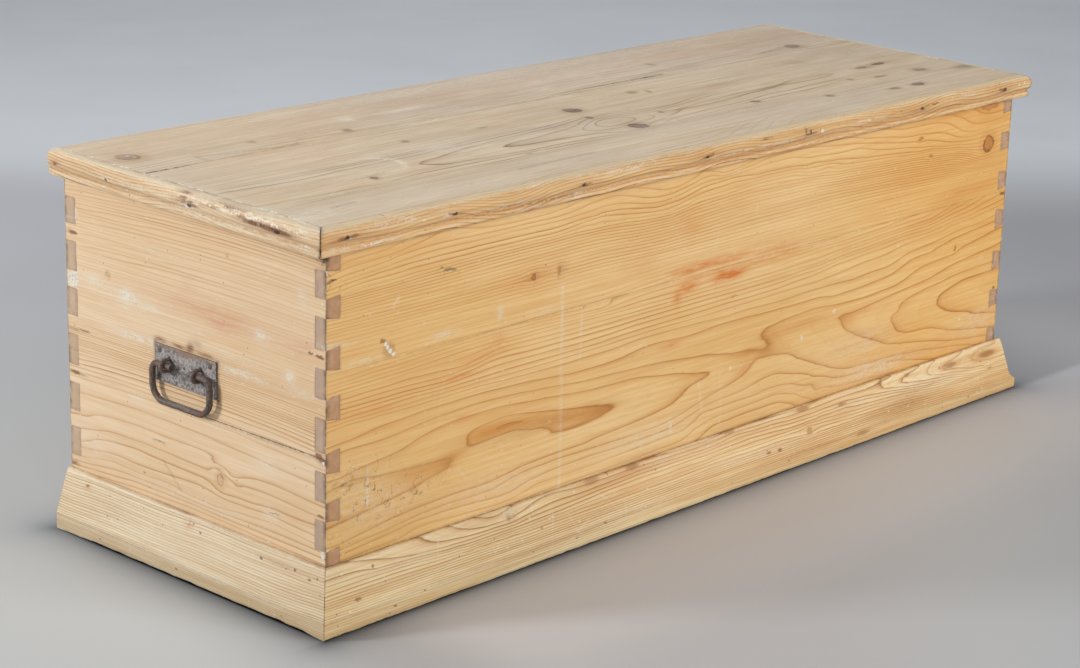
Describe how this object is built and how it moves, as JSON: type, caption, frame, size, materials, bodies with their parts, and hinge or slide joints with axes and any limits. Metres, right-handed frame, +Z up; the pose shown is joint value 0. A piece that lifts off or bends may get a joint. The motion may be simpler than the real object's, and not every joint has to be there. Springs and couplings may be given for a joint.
{
  "type": "blanket chest",
  "caption": "Long low pine blanket chest with dovetailed corners, splayed plinth, moulded hinged lid and an iron drop handle on each end.",
  "frame": {"origin": "middle of the chest's footprint, on the floor", "axes": "+X along the length, towards the right-hand end seen from the front; -Y is the front; +Z up"},
  "size_m": [1.4458, 0.521, 0.5012],
  "materials": {
    "front_pine": "waxed, honey-coloured old pine",
    "back_pine": "dry, unwaxed old pine",
    "end_pine": "waxed, pale old pine",
    "bottom_pine": "sawn, dusty old pine",
    "plinth_pine": "waxed, straw-coloured pine",
    "lid_pine": "worn, grey-beige old pine",
    "moulding_pine": "worn pine with traces of old white paint",
    "hinge_iron": "dark, dull",
    "screw_steel": "tarnished",
    "plate_iron": "pitted, brown-grey",
    "handle_iron": "rust-brown, rubbed",
    "nail_iron": "rusty"
  },
  "bodies": {
    "carcase": {"front_board_upper": "front_pine", "front_board_lower": "front_pine", "back_board_upper": "back_pine", "back_board_lower": "back_pine", "left_end_board_upper": "end_pine", "left_end_board_lower": "end_pine", "right_end_board_upper": "end_pine", "right_end_board_lower": "end_pine", "bottom_board_front": "bottom_pine", "bottom_board_middle": "bottom_pine", "bottom_board_back": "bottom_pine", "bearer_left": "bottom_pine", "bearer_middle": "bottom_pine", "bearer_right": "bottom_pine", "plinth_front": "plinth_pine", "plinth_left": "plinth_pine", "plinth_right": "plinth_pine", "hinge_left_case_leaf": "hinge_iron", "hinge_left_pin": "hinge_iron", "hinge_right_case_leaf": "hinge_iron", "hinge_right_pin": "hinge_iron", "hinge_case_screws": "screw_steel", "handle_left_plate": "plate_iron", "handle_left_staples": "handle_iron", "handle_left_nails": "nail_iron", "handle_right_plate": "plate_iron", "handle_right_staples": "handle_iron", "handle_right_nails": "nail_iron", "plinth_nails": "nail_iron", "bottom_nails": "nail_iron", "bearer_nails": "nail_iron"},
    "lid": {"lid_board_front": "lid_pine", "lid_board_back": "lid_pine", "lid_moulding_front": "moulding_pine", "lid_moulding_left": "moulding_pine", "lid_moulding_right": "moulding_pine", "moulding_nails": "nail_iron", "hinge_left_lid_leaf": "hinge_iron", "hinge_right_lid_leaf": "hinge_iron", "hinge_lid_screws": "screw_steel"},
    "left_handle": {"handle_left_bail": "handle_iron"},
    "right_handle": {"handle_right_bail": "handle_iron"}
  },
  "joints": [
    {"name": "lid_hinge", "type": "hinge", "parent": "carcase", "child": "lid", "pos_m": [0, 0.2559, 0.4788], "axis": [-1, 0, 0], "range_deg": [0, 105]},
    {"name": "left_handle_swing", "type": "hinge", "parent": "carcase", "child": "left_handle", "pos_m": [-0.706, 0.0159, 0.2635], "axis": [0, 1, 0], "range_deg": [-5, 180]},
    {"name": "right_handle_swing", "type": "hinge", "parent": "carcase", "child": "right_handle", "pos_m": [0.706, 0.0159, 0.2635], "axis": [0, -1, 0], "range_deg": [-5, 180]}
  ]
}
